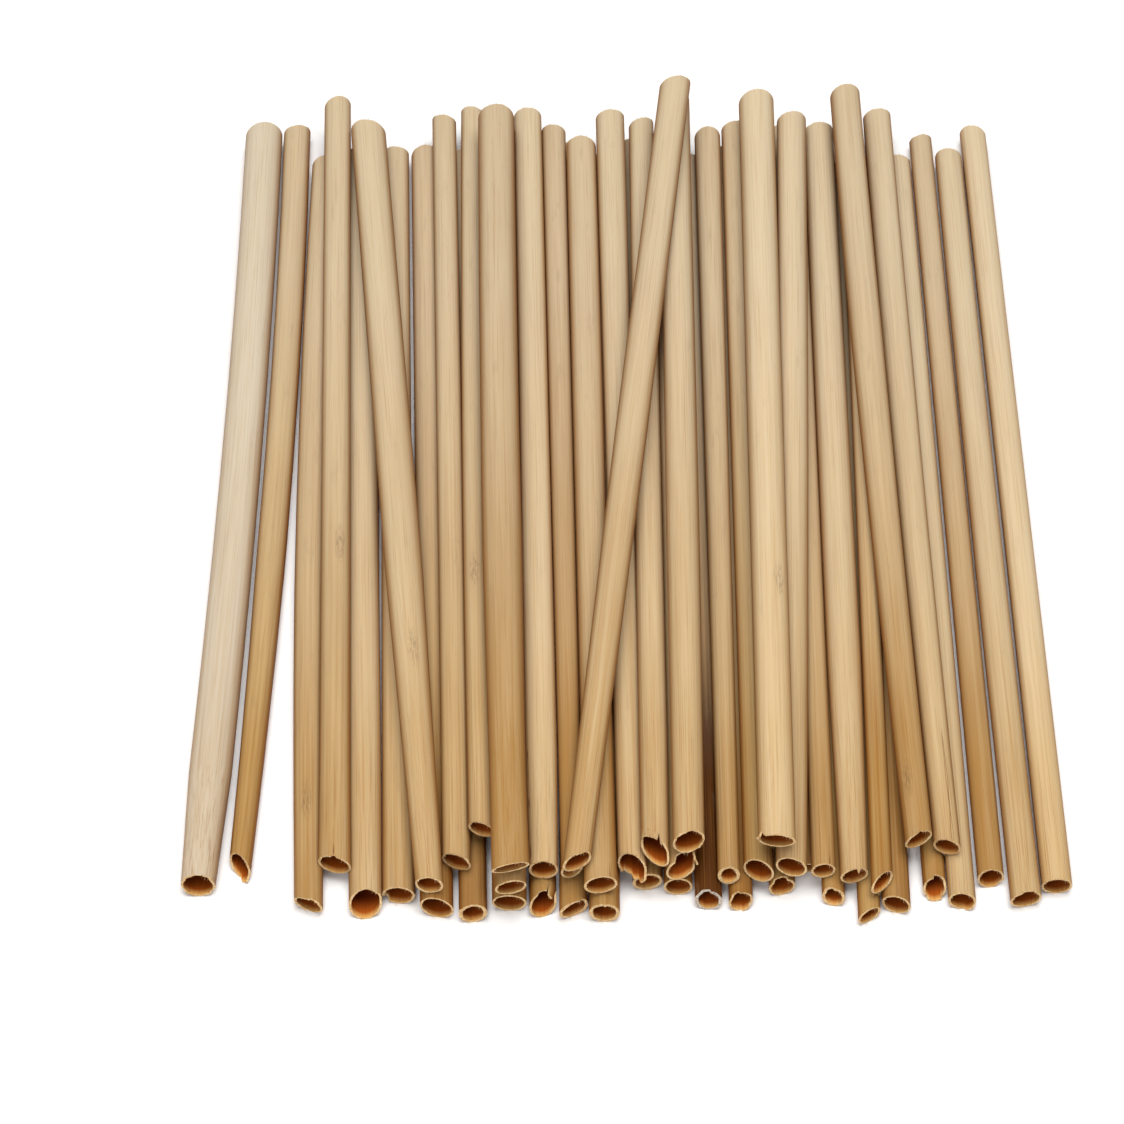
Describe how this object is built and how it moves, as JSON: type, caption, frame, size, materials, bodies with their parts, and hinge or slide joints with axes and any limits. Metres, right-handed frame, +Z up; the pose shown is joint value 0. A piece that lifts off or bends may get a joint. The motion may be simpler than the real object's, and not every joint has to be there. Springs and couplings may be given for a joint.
{
  "type": "bundle of straw",
  "caption": "Loose heap of hollow cut straws lying side by side, up to three deep, with clean and torn slanting cut ends.",
  "frame": {"origin": "on the surface the heap lies on, at the middle of its bounding box", "axes": "+Y along the straws away from the near cut ends, +X across the heap to the right, +Z up"},
  "size_m": [0.16, 0.2134, 0.0231],
  "materials": {
    "straw": "satin waxy skin of dry straw, matt fibrous cut ends"
  },
  "bodies": {
    "root": {"straw_01": "straw", "straw_02": "straw", "straw_03": "straw", "straw_04": "straw", "straw_05": "straw", "straw_06": "straw", "straw_07": "straw", "straw_08": "straw", "straw_09": "straw", "straw_10": "straw", "straw_11": "straw", "straw_12": "straw", "straw_13": "straw", "straw_14": "straw", "straw_15": "straw", "straw_16": "straw", "straw_17": "straw", "straw_18": "straw", "straw_19": "straw", "straw_20": "straw", "straw_21": "straw", "straw_22": "straw", "straw_23": "straw", "straw_24": "straw", "straw_25": "straw", "straw_26": "straw", "straw_27": "straw", "straw_28": "straw", "straw_29": "straw", "straw_30": "straw", "straw_31": "straw", "straw_32": "straw", "straw_33": "straw", "straw_34": "straw", "straw_35": "straw", "straw_36": "straw", "straw_37": "straw", "straw_38": "straw", "straw_39": "straw", "straw_40": "straw", "straw_41": "straw", "straw_42": "straw", "straw_43": "straw", "straw_44": "straw", "straw_45": "straw", "straw_46": "straw", "straw_47": "straw", "straw_48": "straw"}
  },
  "joints": []
}
